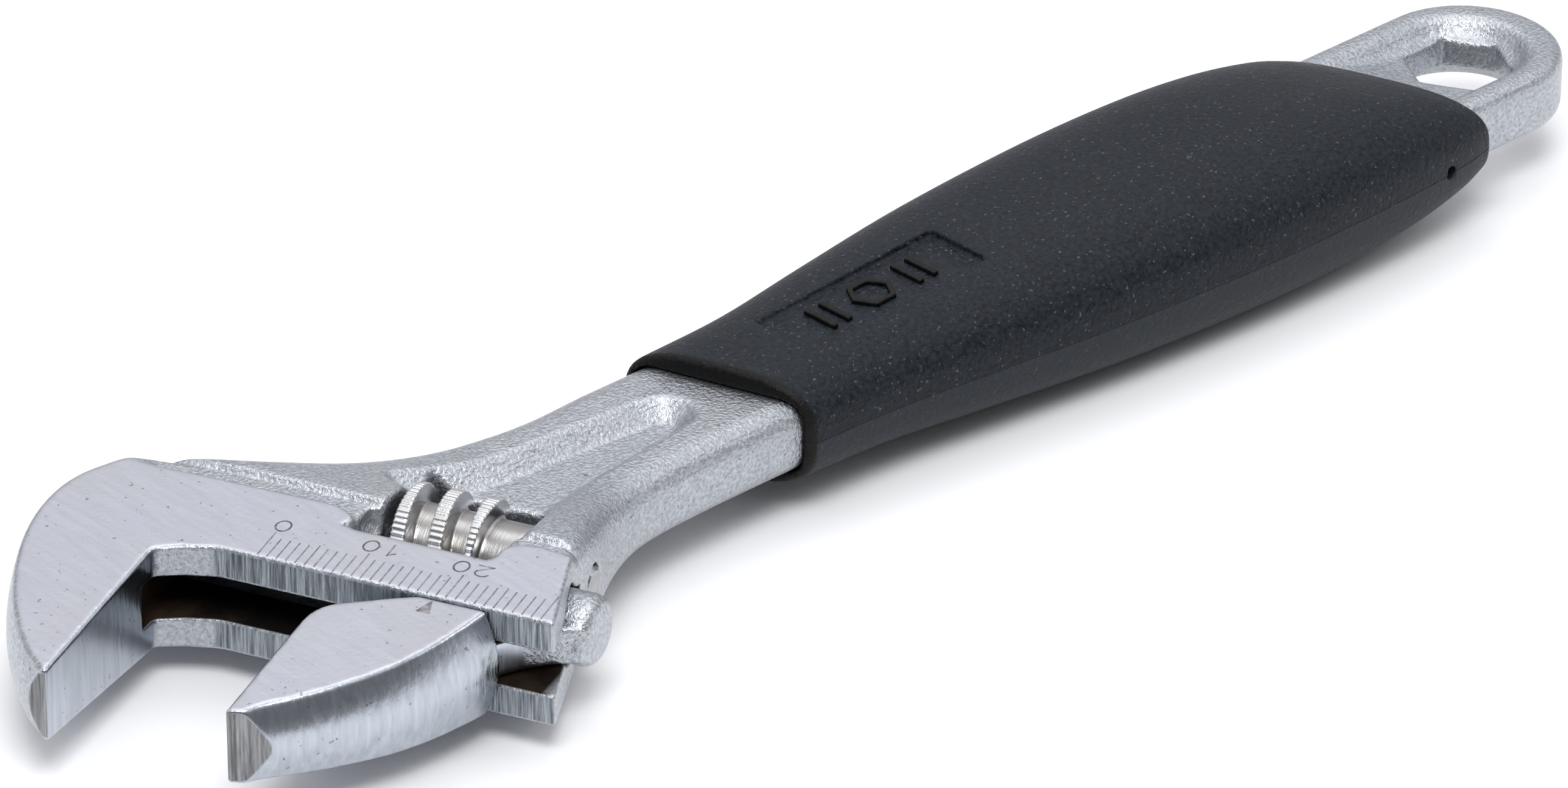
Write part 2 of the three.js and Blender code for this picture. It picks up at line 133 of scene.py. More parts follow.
SHANK_HALF_WIDTH, SHANK_HALF_HEIGHT = 9.1, 4.0
SHANK_END_X = -100.0
SHANK_RISE = 2.55
WEB_FLOOR = 2.1
POCKET_RIM_HEIGHT, POCKET_SLOPE = 4.3, 1.05

TANG_HALF_WIDTH = 8.4
END_HALF = 3.5
END_WEB_HALF = 1.6
RECESS_X, RECESS_RADIUS, RECESS_SLOPE = -1.0, 7.5, 0.8
HOLE_CENTRE_X = -1.1
HOLE_RADIUS = 5.9

GRIP_FRONT_X, GRIP_REAR_X = -109.5, -14.2
GRIP_SLANT = 0.34
GRIP_SQUARENESS = 3.0
PANEL_X, PANEL_LENGTH, PANEL_WIDTH = -88.0, 24.4, 8.0
PANEL_HEIGHT, PANEL_TILT = 6.2, 0.055
SIGN_RISE, SIGN_HALF_HEIGHT = 0.45, 2.2
DIMPLE_AT, DIMPLE_RADIUS = (-17.5, -13.7, -0.1), 0.85


def face_half(n):
    """Half the thickness between the ground faces, which part slowly towards the handle."""
    return FACE_HALF + FACE_TAPER * n


# ---- Distance fields ---------------------------------------------------------------------------
def soft_max(a, b, radius):
    """The larger of two fields, rounded off where they cross: cuts one shape out of another."""
    overlap = np.maximum(radius - np.abs(a - b), 0) / radius
    return np.maximum(a, b) + overlap * overlap * radius / 4


def soft_min(a, b, radius):
    """The smaller of two fields with a fillet where they cross: joins two shapes."""
    return -soft_max(-a, -b, radius)


def blend_over(value, start, end):
    """0 before start and 1 after end, with smooth ends."""
    t = np.clip((value - start) / (end - start), 0, 1)
    return t * t * (3 - 2 * t)


def curve_through(points, steps=8):
    """A smooth run of points through the given ones."""
    ends = [points[0], *points, points[-1]]
    run = []
    for before, start, end, after in zip(ends, ends[1:], ends[2:], ends[3:]):
        p0, p1, p2, p3 = (np.array(p, float) for p in (before, start, end, after))
        for t in np.arange(steps) / steps:
            bend = (2 * p0 - 5 * p1 + 4 * p2 - p3) * t + (3 * p1 - p0 - 3 * p2 + p3) * t * t
            run.append(tuple(p1 + 0.5 * t * (p2 - p0 + bend)))
    return [*run, tuple(points[-1])]


def outline_field(points):
    """A function of two coordinates: the signed distance to a closed outline, negative inside."""
    starts = np.array(points, np.float32)
    ends = np.roll(starts, -1, axis=0)

    def distance(x, y):
        nearest = np.full(np.broadcast(x, y).shape, 1e9, np.float32)
        inside = np.zeros(nearest.shape, bool)
        for (ax, ay), (bx, by) in zip(starts, ends):
            ex, ey = bx - ax, by - ay
            if ex == 0 and ey == 0:
                continue
            along = np.clip(((x - ax) * ex + (y - ay) * ey) / (ex * ex + ey * ey), 0, 1)
            gap = (x - ax - along * ex) ** 2 + (y - ay - along * ey) ** 2
            nearest = np.minimum(nearest, gap)
            if ey != 0:
                inside ^= ((ay <= y) != (by <= y)) & (x < ax + ex * (y - ay) / ey)
        return np.where(inside, -1, 1) * np.sqrt(nearest)
    return distance


def box_field(x, y, x_range, y_range, corner=0.0):
    """The signed distance to a rectangle with rounded corners."""
    qx = np.abs(x - sum(x_range) / 2) - (x_range[1] - x_range[0]) / 2 + corner
    qy = np.abs(y - sum(y_range) / 2) - (y_range[1] - y_range[0]) / 2 + corner
    outside = np.sqrt(np.maximum(qx, 0) ** 2 + np.maximum(qy, 0) ** 2)
    return outside + np.minimum(np.maximum(qx, qy), 0) - corner


CELL_CORNERS = np.array([(i, j, k) for i in (0, 1) for j in (0, 1) for k in (0, 1)])
CELL_EDGES = [(a, b) for a in range(8) for b in range(a + 1, 8)
              if np.abs(CELL_CORNERS[a] - CELL_CORNERS[b]).sum() == 1]


def hexagon_field(x, y):
    """The distance from the centre to a flat of the hexagon through the point, with corners along x."""
    flats = np.abs(y)
    for turn in (math.radians(60), math.radians(-60)):
        flats = np.maximum(flats, np.abs(y * math.cos(turn) + x * math.sin(turn)))
    return flats


def surface_net(field, low, high, step):
    """Points and quads of the surface where the field is zero, found on a grid of that step."""
    grid = [np.arange(a, b + step, step, dtype=np.float32) for a, b in zip(low, high)]
    values = field(grid[0][:, None, None], grid[1][None, :, None], grid[2][None, None, :])
    values = np.ascontiguousarray(np.broadcast_to(values, [len(line) for line in grid]))
    inside = values < 0
    cells_shape = np.array(values.shape) - 1
    filled = np.zeros(cells_shape, np.int8)
    for corner in CELL_CORNERS:
        filled += inside[tuple(slice(o, o + n) for o, n in zip(corner, cells_shape))]
    cells = np.argwhere((filled > 0) & (filled < 8))
    at_corner = np.stack([values[tuple((cells + corner).T)] for corner in CELL_CORNERS], axis=1)
    total = np.zeros((len(cells), 3))
    hits = np.zeros(len(cells))
    for a, b in CELL_EDGES:
        va, vb = at_corner[:, a], at_corner[:, b]
        crossed = (va < 0) != (vb < 0)
        t = np.where(crossed, va / np.where(crossed, va - vb, 1), 0)
        place = CELL_CORNERS[a] + t[:, None] * (CELL_CORNERS[b] - CELL_CORNERS[a])
        total += place * crossed[:, None]
        hits += crossed
    points = np.array(low) + (cells + total / hits[:, None]) * step

    number = np.full(cells_shape, -1, np.int32)
    number[tuple(cells.T)] = np.arange(len(cells))
    quads = []
    for axis in range(3):
        near = [slice(1, n) for n in cells_shape]
        near[axis] = slice(0, cells_shape[axis])
        far = list(near)
        far[axis] = slice(1, cells_shape[axis] + 1)
        lower, upper = inside[tuple(near)], inside[tuple(far)]
        across, along = np.eye(3, dtype=int)[(axis + 1) % 3], np.eye(3, dtype=int)[(axis + 2) % 3]
        shift = np.array([part.start for part in near])
        for outward, turn in ((lower & ~upper, 1), (~lower & upper, -1)):
            edges = np.argwhere(outward) + shift
            ring = [edges, edges - across, edges - across - along, edges - along][::turn]
            quads.append(np.stack([number[tuple(corner.T)] for corner in ring], axis=1))
    return points, np.concatenate(quads)


def relaxed(points, quads, rounds):
    """The surface's points moved a little towards their neighbours, which takes out grid marks."""
    starts = quads.ravel()
    ends = np.roll(quads, -1, axis=1).ravel()
    count = np.bincount(starts, minlength=len(points)) + np.bincount(ends, minlength=len(points))
    for _ in range(rounds):
        middle = np.stack([
            np.bincount(starts, points[ends, axis], len(points))
            + np.bincount(ends, points[starts, axis], len(points)) for axis in range(3)], axis=1)
        points = 0.5 * points + 0.5 * middle / count[:, None]
    return points


def mesh_piece(name, points, faces, body, material, replaces=None):
    """A mesh object from points in metres of the row frame, riding on a body."""
    mesh = bpy.data.meshes.new(name)
    mesh.from_pydata(points.tolist(), [], [list(map(int, face)) for face in faces])
    mesh.shade_smooth()
    mesh.materials.append(material)
    piece = bpy.data.objects.new(name, mesh)
    bpy.context.scene.collection.objects.link(piece)
    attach(piece, body)
    if replaces:
        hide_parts(replaces)
    return piece


# ---- Body --------------------------------------------------------------------------------------
def head_outline():
    """The forging's widest outline; the mouth between the jaws is cut afterwards."""
    far_shank = [head_of_handle(x, SHANK_HALF_WIDTH) for x in (-119, -104, -92)]
    near_shank = [head_of_handle(x, -SHANK_HALF_WIDTH) for x in (-92, -104)]
    near_shank.append(head_of_handle(-119, -SHANK_HALF_WIDTH - 0.1))
    jaw_side = curve_through([(-9.6, -26), (-13.8, -22.5), (-17.8, -17.4), (-21.2, -11.2), (-23.5, -4.6),
                              (-24.3, 1.2), (-23.6, 6.2), (-21.2, 10.2), (-17.4, 13.2), (-13.2, 15.5),
                              (-7.2, 18.1), (-0.6, 22.3), (5.4, 30.4), (9.7, 37.5), *far_shank])
    near_side = curve_through([*near_shank, (27.3, 31), (26.7, 24), (27.8, 16.5), (28.3, 11.2)])
    return [*jaw_side, *near_side, (HEAD_END_U, 0.2), (HEAD_END_U, -30), (-9, -30)]


def pad_outline():
    """The raised ground face behind the jaws: its back edge and the two lobes by the window."""
    back = [(-30, 10.4), (-19, 10.7), (2, 11.0), (3.6, 10.8)]
    corner = curve_through([(3.6, 10.8), (4.9, 10.2), (5.7, 9.5), (5.9, 8.8), (5.4, 8.0)], 4)
    lobe = curve_through([(20.9, 7.6), (21.2, 9.2), (22.2, 10.8), (24.2, 11.5), (26.5, 11.4),
                          (28.1, 11.1)], 4)
    return [*back, *corner, *lobe, (40, 10.5), (40, -40), (-30, -40)]


def mouth_outline():
    """The space between the fixed jaw and the front of the bar, open to the front and the right."""
    return [(JAW_FACE_U, -40), (JAW_FACE_U, -2.8), (-9.6, -2.3), (-7.4, -1.1), (-4.6, -0.15), (-3.6, 0),
            (40, 0), (40, -40)]


def shank_pocket_outline():
    """The pocket's rim in handle coordinates, from the window to its round end."""
    near = curve_through([(-146, -10), (-139, -7.8), (-131, -6.1), (-122, -4.9), (-117.4, -4.3)], 5)
    end = curve_through([(-117.4, -4.3), (-114.6, -3.2), (-113.4, -0.6), (-114.6, 2.2), (-117.4, 3.3)], 5)
    far = curve_through([(-117.4, 3.3), (-126, 4.0), (-134, 4.6), (-146, 6.2)], 5)
    return [*near, *end, *far]


def shank_height(n):
    """Half the thickness of the forging behind the ground face, without the channel."""
    return SHANK_HALF_HEIGHT + SHANK_RISE * (1 - blend_over(n, 12.4, 31))


def top_height(u, n, pad):
    """Half the head's thickness: ground face, channel, crest and the slope to the shank."""
    before_crest = 1 - blend_over(n, CREST_N - 0.75, CREST_N - 0.1)
    channel = CHANNEL_DEPTH * blend_over(u, -20, -13) * before_crest
    forged = shank_height(n) - channel
    on_pad = 1 - blend_over(pad, -0.15, 0.2)
    return forged + (face_half(n) - forged) * on_pad


def thread_field(u, n, z, growth=0.0):
    """The worm's right-handed thread as an endless rod, thicker by growth."""
    angle = np.arctan2(z, n - WORM_N)
    radius = np.sqrt((n - WORM_N) ** 2 + z * z)
    phase = u - THREAD_PHASE_U - WORM_LEAD * angle / (2 * math.pi)
    from_land = np.abs((phase + WORM_LEAD / 2) % WORM_LEAD - WORM_LEAD / 2)
    rise = np.clip((from_land - WORM_LAND / 2 - growth) / WORM_FLANK, 0, 1)
    profile = WORM_RADIUS + growth + (WORM_ROOT - WORM_RADIUS) * rise
    side = (from_land - WORM_LAND / 2 - growth) * 0.9
    on_flank = np.maximum(side, radius - WORM_RADIUS - growth)
    return np.minimum(np.minimum(radius - WORM_ROOT - growth, on_flank), radius - profile)


def pocket_field(u, n, height):
    """The pocket in the shank, with sloping walls down to the web."""
    rim = outline_field(shank_pocket_outline())(*handle_of_head(u, n))
    wall = (rim + POCKET_SLOPE * (POCKET_RIM_HEIGHT - height)) / math.hypot(1, POCKET_SLOPE)
    return soft_max(WEB_FLOOR - height, wall, 0.3)


def worm_space_field(u, n, height):
    """The window for the worm and the relief at its left end."""
    window = box_field(u, n, WINDOW_U, WINDOW_N, 0.7)
    relief_floor = 3.0 + 0.9 * (WINDOW_U[0] - u)
    relief = soft_max(box_field(u, n, (5.9, 9), (7.8, 12.8), 1.0), relief_floor - height, 1.0)
    return window, relief


def bored_fields(u, n, z):
    """The slot for the jaw's web, the bore for its rail and the hole for the worm's pin."""
    ahead = np.maximum(SLOT_FRONT_N - n, n - RAIL_N)
    slot = np.maximum(np.maximum(SLOT_START_U - u, np.abs(z) - SLOT_HALF), ahead)
    bore = np.maximum(np.sqrt((n - RAIL_N) ** 2 + z * z) - BORE_RADIUS, BORE_END_U - u)
    pin_hole = np.maximum(np.sqrt((n - WORM_N) ** 2 + z * z) - PIN_HOLE_RADIUS, PIN_HOLE_END_U - u)
    return slot, bore, pin_hole


def head_field(u, n, z):
    """The body from the jaw's tip to inside the grip."""
    height = np.abs(z)
    pad = outline_field(pad_outline())(u, n)
    half = top_height(u, n, pad)
    edge_radius = 0.45 + 2.6 * blend_over(pad, 0, 2.5)
    on_jaw = (1 - blend_over(u, -12, -6)) * (1 - blend_over(n, 8, 15))
    crown = FIXED_JAW_CROWN * (height / half) ** 2 * on_jaw
    side = outline_field(head_outline())(u, n) + crown
    tip = TIP_N[0] + TIP_SLOPE[0] * (u - JAW_FACE_U) - n

    field = soft_max(side, height - half, edge_radius)
    field = soft_max(field, -outline_field(mouth_outline())(u, n), 0.35)
    field = soft_max(field, tip, 0.2)
    field = soft_max(field, -pocket_field(u, n, height), 0.2)
    for hollow in worm_space_field(u, n, height):
        field = soft_max(field, -hollow, 0.4)
    for hollow in bored_fields(u, n, z):
        field = soft_max(field, -hollow, 0.3)
    shank_end = handle_of_head(u, n)[0] - SHANK_END_X
    return np.maximum(field, shank_end)


def tang_field(x, y, z):
    """The flat tang and the hanging end with its recess and six-sided hole."""
    height = np.abs(z)
    waist = (END_RADIUS - TANG_HALF_WIDTH) * (1 - blend_over(x, -32, -20))
    bar = np.maximum(np.abs(y) - END_RADIUS + waist, x)
    side = np.minimum(bar, np.sqrt(x * x + y * y) - END_RADIUS)
    field = soft_max(side, height - END_HALF, 1.5)

    floor = END_WEB_HALF + (END_HALF - END_WEB_HALF) * (1 - blend_over(x, -19, -5))
    rim = np.maximum(np.abs(y) - RECESS_RADIUS, x - RECESS_X)
    rim = np.minimum(rim, np.sqrt((x - RECESS_X) ** 2 + y * y) - RECESS_RADIUS)
    wall = (rim + RECESS_SLOPE * (END_HALF - height)) / math.hypot(1, RECESS_SLOPE)
    recess = soft_max(floor - height, wall, 0.7)
    field = soft_max(field, -recess, 0.7)

    hole = hexagon_field(x - HOLE_CENTRE_X, y) - HOLE_RADIUS * math.cos(math.pi / 6)
    field = soft_max(field, -hole, 0.45)
    return np.maximum(field, SHANK_END_X - 1 - x)


def make_body(material):
    head_points, head_quads = surface_net(
        head_field, low=(-26, -26.5, -8.2), high=(40, 66, 8.2), step=0.24)
    tang_points, tang_quads = surface_net(
        tang_field, low=(-102, -11.5, -4.4), high=(11.2, 11.5, 4.4), step=0.28)
    head = head_to_row(relaxed(head_points, head_quads, 1))
    tang = handle_to_row(relaxed(tang_points, tang_quads, 2))
    points = np.concatenate([head, tang])
    faces = np.concatenate([head_quads, tang_quads + len(head)])
    return mesh_piece("forged_body", points, faces, "body", material, "body")


# ---- Sliding jaw -------------------------------------------------------------------------------
def jaw_outline():
    """The sliding jaw in front of the bar, from its tip round its outer side to its inner face."""
    face = JAW_FACE_U + OPENING
    outer = curve_through([(face + 0.4, -25.6), (face + 2.6, -22.3), (14.7, -19), (17.4, -15.9),
                           (20.2, -12), (22.1, -8.1), (23.4, -4.4), (24.5, -0.5), (24.9, 2)])
    inner = curve_through([(15.2, -1.6), (11.2, -4), (9.8, -5.2), (9.2, -6.2), (face, -8)], 4)
    return [(face, -26), *outer, (17.6, 2), (17.6, -0.3), *inner]


def web_outline():
    """The web that joins the jaw to its rail through the slot."""
    face = JAW_FACE_U + OPENING
    under = curve_through([(20, -8), (23.4, -3), (25.8, 1.2), (28.6, 4.2), (RAIL_END_U - 0.4, 6.2)])
    return [(face, -10), *under, (RAIL_END_U, RAIL_N), (face, RAIL_N)]


def jaw_field(u, n, z):
    """The sliding jaw, its web through the slot and its toothed round rail."""
    height = np.abs(z)
    half = face_half(n)
    past_face = u - JAW_FACE_U - OPENING
    crown = SLIDING_JAW_CROWN * (1 - (height / half) ** 1.6) * blend_over(past_face, 0.2, 1.6)
    tip = TIP_N[1] + TIP_SLOPE[1] * past_face - n
    jaw = soft_max(outline_field(jaw_outline())(u, n) - crown, height - half, 0.3)
    jaw = soft_max(jaw, -past_face, 0.3)
    jaw = soft_max(jaw, tip, 0.2)
    jaw = soft_max(jaw, n + 0.3, 0.3)

    teeth = thread_field(u, n, z, TOOTH_GAP)
    web = soft_max(outline_field(web_outline())(u, n), height - WEB_HALF, 0.5)
    rail_middle, rail_half = (RAIL_START_U + RAIL_END_U) / 2, (RAIL_END_U - RAIL_START_U) / 2
    rail_round = np.sqrt((n - RAIL_N) ** 2 + z * z) - RAIL_RADIUS
    rail = soft_max(rail_round, np.abs(u - rail_middle) - rail_half, 1.6)
    field = soft_min(jaw, soft_max(web, -teeth, 0.25), 0.8)
    return np.minimum(field, soft_max(rail, -teeth, 0.25))


def make_jaw(material):
    points, quads = surface_net(jaw_field, low=(3.4, -26, -7.2), high=(33.4, 14, 7.2), step=0.22)
    points = head_to_row(relaxed(points, quads, 1))
    return mesh_piece("sliding_jaw", points, quads, "jaw", material, "movable_jaw")


# ---- Worm --------------------------------------------------------------------------------------
def worm_field(u, n, z):
    """The worm with knurled lands, turned ends, and bores for its pin and spring."""
    angle = np.arctan2(z, n - WORM_N)
    radius = np.sqrt((n - WORM_N) ** 2 + z * z)
    on_land = blend_over(radius, WORM_RADIUS - 0.6, WORM_RADIUS - 0.1)
    knurl = KNURL_DEPTH * (0.5 + 0.5 * np.cos(KNURL_TEETH * angle)) * on_land
    thread = thread_field(u, n, z) + knurl
    thread = soft_max(thread, np.maximum(WORM_START_U - u, u - THREAD_END_U), 0.3)
    hub = soft_max(radius - WORM_ROOT, np.maximum(WORM_START_U - u, u - WORM_END_U), 0.5)
    field = soft_min(thread, hub, 0.3)
    field = soft_max(field, WORM_BORE_RADIUS - radius, 0.2)
    seat = np.maximum(radius - SPRING_SEAT_RADIUS, WORM_END_U - SPRING_SEAT_DEPTH - u)
    return soft_max(field, -seat, 0.2)


def make_worm(material):
    reach = WORM_RADIUS + 0.5
    points, quads = surface_net(
        worm_field, low=(7.4, WORM_N - reach, -reach), high=(21.3, WORM_N + reach, reach), step=0.12)
    points = head_to_row(relaxed(points, quads, 1))
    return mesh_piece("knurled_worm", points, quads, "worm", material, "worm")


# ---- Grip --------------------------------------------------------------------------------------
def grip_sections():
    """x, half-width and half-height of the grip, from the head end to the hanging end."""
    return np.array(curve_through([
        (GRIP_FRONT_X - 4, 10.0, 6.0), (GRIP_FRONT_X + 1, 10.2, 6.1), (-97, 10.7, 6.3),
        (-84, 12.3, 7.1), (-68, 14.1, 8.0), (-50, 15.1, 8.55), (-36, 15.1, 8.5), (-26, 14.7, 7.7),
        (GRIP_REAR_X - 4.5, 13.9, 6.4), (GRIP_REAR_X - 0.5, 13.1, 5.1), (GRIP_REAR_X + 4, 12.4, 4.2)], 6))


def grip_skin(station, y, z):
    """The distance to the sleeve's rounded skin, without its ends."""
    sections = grip_sections()
    half_width = np.interp(station, sections[:, 0], sections[:, 1])
    half_height = np.interp(station, sections[:, 0], sections[:, 2])
    power = GRIP_SQUARENESS
    across = np.abs(y) / half_width
    upward = np.abs(z) / half_height
    size = (across ** power + upward ** power + 1e-9) ** (1 / power)
    slope = np.sqrt((across ** (power - 1) / half_width) ** 2 + (upward ** (power - 1) / half_height) ** 2)
    return (size - 1) / np.maximum(slope * size ** (1 - power), 1e-3)


def panel_floor(x):
    """The height of the sunk panel's floor."""
    return PANEL_HEIGHT + PANEL_TILT * (x - PANEL_X)


def grip_hollows(station, x, y, z):
    """The spaces for the shank and for the tang, and the moulding's dimple."""
    steel = soft_max(np.abs(y) - SHANK_HALF_WIDTH, np.abs(z) - SHANK_HALF_HEIGHT, 2.8)
    front_space = np.maximum(steel - 0.1, station + 98)
    rear_space = np.maximum(np.maximum(np.abs(y) - END_RADIUS, np.abs(z) - END_HALF) - 0.15, -35 - x)
    dimple_x, dimple_y, dimple_z = DIMPLE_AT
    from_dimple = np.sqrt((x - dimple_x) ** 2 + (y - dimple_y) ** 2 + (z - dimple_z) ** 2)
    return front_space, rear_space, from_dimple - DIMPLE_RADIUS


def grip_field(x, y, z):
    """The rubber sleeve with its slanted ends, sunk panel and moulding marks."""
    station = x + GRIP_SLANT * y
    tilt = math.hypot(1, GRIP_SLANT)
    field = soft_max(grip_skin(station, y, z), (GRIP_FRONT_X - station) / tilt, 0.9)
    field = soft_max(field, (station - GRIP_REAR_X) / tilt, 1.0)

    panel_ends = (PANEL_X - PANEL_LENGTH / 2, PANEL_X + PANEL_LENGTH / 2)
    panel = box_field(x, y, panel_ends, (-PANEL_WIDTH / 2, PANEL_WIDTH / 2), 0.3)
    panel = soft_max(panel, panel_floor(x) - z, 0.2)
    for hollow in (panel, *grip_hollows(station, x, y, z)):
        field = soft_max(field, -hollow, 0.2)
    return field


def sign_field(x, y, z):
    """A plain raised sign for the panel: a nut's outline between two bars at each side."""
    from_middle = x - PANEL_X
    sign = np.abs(hexagon_field(from_middle, y) - 2.0) - 0.3
    for bar_x in (5.0, 7.0):
        bar_width = (bar_x - 0.35, bar_x + 0.35)
        bar = box_field(np.abs(from_middle), y, bar_width, (-SIGN_HALF_HEIGHT, SIGN_HALF_HEIGHT))
        sign = np.minimum(sign, bar)
    return soft_max(sign, np.abs(z - panel_floor(x)) - SIGN_RISE, 0.15)


def make_grip(material):
    points, quads = surface_net(grip_field, low=(-115.5, -16.2, -9.3), high=(-8, 16.2, 9.3), step=0.25)
    points = handle_to_row(relaxed(points, quads, 1))
    return mesh_piece("rubber_grip", points, quads, "body", material, "grip")


def make_sign(material):
    points, quads = surface_net(
        sign_field, low=(PANEL_X - 8, -2.8, PANEL_HEIGHT - 1.2),
        high=(PANEL_X + 8, 2.8, PANEL_HEIGHT + 1.2), step=0.1)
    return mesh_piece("raised_sign", handle_to_row(points), quads, "body", material)


# ---- Scale -------------------------------------------------------------------------------------
MARK_WIDTH = 0.15
MARK_DEPTH, MARK_LIFT = 0.1, 0.012
MARK_START_N = 0.4
MARK_COUNT = 31
MARK_LENGTHS = {1: 3.05, 5: 3.35, 10: 3.85}
NUMBERS_AT = (("0", 0.2), ("10", 11.9), ("20", 21.5))
DIGIT_HEIGHT, DIGIT_PITCH, DIGITS_N = 1.8, 2.3, 6.45
DIGITS = {
    "0": [(0.75 * math.cos(a), 0.9 + 0.88 * math.sin(a)) for a in np.linspace(0, 2 * math.pi, 25)],
    "1": [(-0.45, 1.3), (0.2, DIGIT_HEIGHT), (0.2, 0)],
    "2": [(0.7 * math.cos(a), 1.25 + 0.53 * math.sin(a)) for a in np.linspace(2.9, -0.5, 12)]
         + [(-0.75, 0.05), (0.8, 0.05)],
}


def stroke(points, width):
    """A strip of that width along a line of points, as four-cornered patches that turn left."""
    patches = []
    for (ax, ay), (bx, by) in zip(points, points[1:]):
        length = math.hypot(bx - ax, by - ay)
        dx, dy = (bx - ax) / length * width / 2, (by - ay) / length * width / 2
        patches.append([(ax - dx - dy, ay - dy + dx), (ax - dx + dy, ay - dy - dx),
                        (bx + dx + dy, by + dy - dx), (bx + dx - dy, by + dy + dx)])
    return patches


def scale_patches():
    """The millimetre marks and the numbers 0, 10 and 20, which face the far side."""
    patches = []
    for mark in range(MARK_COUNT):
        length = MARK_LENGTHS[max(step for step in MARK_LENGTHS if mark % step == 0)]
        patches += stroke([(mark, MARK_START_N), (mark, MARK_START_N + length)], MARK_WIDTH)
    for text, right_u in NUMBERS_AT:
        for place, digit in enumerate(text):
            centre_u = right_u - DIGIT_PITCH * place
            line = [(centre_u - x, DIGITS_N - y) for x, y in DIGITS[digit]]
            patches += stroke(line, MARK_WIDTH + 0.03)
    return patches


def pointer_patch():
    """The small triangle on the sliding jaw."""
    return [(19.1, -0.55), (18.3, -2.8), (19.8, -2.8)]


def make_marks(name, patches, body, material):
    """Etched marks: thin blocks sunk into the upper ground face and proud of it by a hair."""
    points, faces = [], []
    for patch in patches:
        start, count = len(points), len(patch)
        for lift in (-MARK_DEPTH, MARK_LIFT):
            points += [(u, n, face_half(n) + lift) for u, n in patch]
        bottom, top = range(start, start + count), range(start + count, start + 2 * count)
        faces += [list(bottom)[::-1], list(top)]
        for i in range(count):
            j = (i + 1) % count
            faces.append([bottom[i], bottom[j], top[j], top[i]])
    return mesh_piece(name, head_to_row(np.array(points)), faces, body, material)


# ---- Materials ---------------------------------------------------------------------------------
class Nodes:
    """Short calls for building a node material."""

    def __init__(self, name):
        self.material = bpy.data.materials.new(name)
        self.material.use_nodes = True
        self.tree = self.material.node_tree
        self.shader = self.tree.nodes["Principled BSDF"]
        self.place = self.add("ShaderNodeTexCoord").outputs["Object"]

    def add(self, kind, inputs=None, **settings):
        node = self.tree.nodes.new(kind)
        for key, value in settings.items():
            setattr(node, key, value)
        for key, value in (inputs or {}).items():
            self.feed(node.inputs[key], value)
        return node

    def feed(self, socket, value):
        if isinstance(value, bpy.types.NodeSocket):
            self.tree.links.new(value, socket)
        else:
            socket.default_value = value

    def set(self, **values):
        for key, value in values.items():
            self.feed(self.shader.inputs[key.replace("_", " ")], value)

    def math(self, operation, a, b=0.0):
        return self.add("ShaderNodeMath", {0: a, 1: b}, operation=operation).outputs[0]

    def both(self, a, b):
        """Where two masks overlap."""
        return self.math("MULTIPLY", a, b)

    def ramp(self, value, start, end, low=0.0, high=1.0):
        """low before start and high after end; start may be the larger of the two."""
        node = self.add("ShaderNodeMapRange", {
            "Value": value, "From Min": start, "From Max": end, "To Min": low, "To Max": high})
        return node.outputs[0]

    def towards(self, mask, low, high):
        """low off the mask and high on it."""
        return self.ramp(mask, 0.0, 1.0, low, high)

    def noise(self, scale, detail=3.0, stretch=None, roughness=0.55):
        place = self.place
        if stretch:
            stretched = self.add("ShaderNodeVectorMath", {0: place, 1: stretch}, operation="MULTIPLY")
            place = stretched.outputs[0]
        node = self.add("ShaderNodeTexNoise", {
            "Vector": place, "Scale": scale, "Detail": detail, "Roughness": roughness})
        return node.outputs["Fac"]

    def along(self, axis):
        """The distance in millimetres from the head's origin along an axis of the row frame."""
        dot = self.add("ShaderNodeVectorMath", {0: self.place, 1: tuple(axis)}, operation="DOT_PRODUCT")
        millimetres = self.math("MULTIPLY", dot.outputs["Value"], 1 / MM)
        return self.math("SUBTRACT", millimetres, HEAD_ORIGIN.dot(axis))

    def head_place(self):
        """The head coordinates u, n and z."""
        return self.along(U_AXIS), self.along(N_AXIS), self.along(Z_AXIS)

    def mix(self, share, a, b):
        node = self.add("ShaderNodeMix", data_type="RGBA")
        self.feed(node.inputs["Factor"], share)
        self.feed(node.inputs[6], a)
        self.feed(node.inputs[7], b)
        return node.outputs[2]

    def shades(self, value, start, end, colours):
        """The first colour where the value is below start, and the second above end."""
        return self.mix(self.ramp(value, start, end), *colours)

    def bump(self, height, distance, strength=1.0, normal=None):
        node = self.add("ShaderNodeBump", {"Height": height, "Distance": distance, "Strength": strength})
        if normal:
            self.feed(node.inputs["Normal"], normal)
        return node.outputs["Normal"]


FORGED = (0.31, 0.335, 0.37, 1), (0.58, 0.605, 0.645, 1)
GROUND = (0.50, 0.515, 0.575, 1), (0.56, 0.575, 0.635, 1)
BRUSHED = (0.40, 0.435, 0.485, 1), (0.54, 0.58, 0.635, 1)
MILLED = (0.13, 0.145, 0.16, 1), (0.44, 0.48, 0.51, 1)
MILLED_TIP = (0.12, 0.12, 0.12, 1), (0.31, 0.315, 0.325, 1)
# painted shade inside the deep slot: near black, with a brown tint
SLOT_BROWN_AND_SHADE = (0.003, 0.002, 0.0015, 1), (0.050, 0.030, 0.018, 1)
FORGED_CLOUD, GROUND_CLOUD = (0.50, 0.49, 0.475, 1), (0.50, 0.485, 0.475, 1)
PIT = (0.16, 0.14, 0.13, 1)


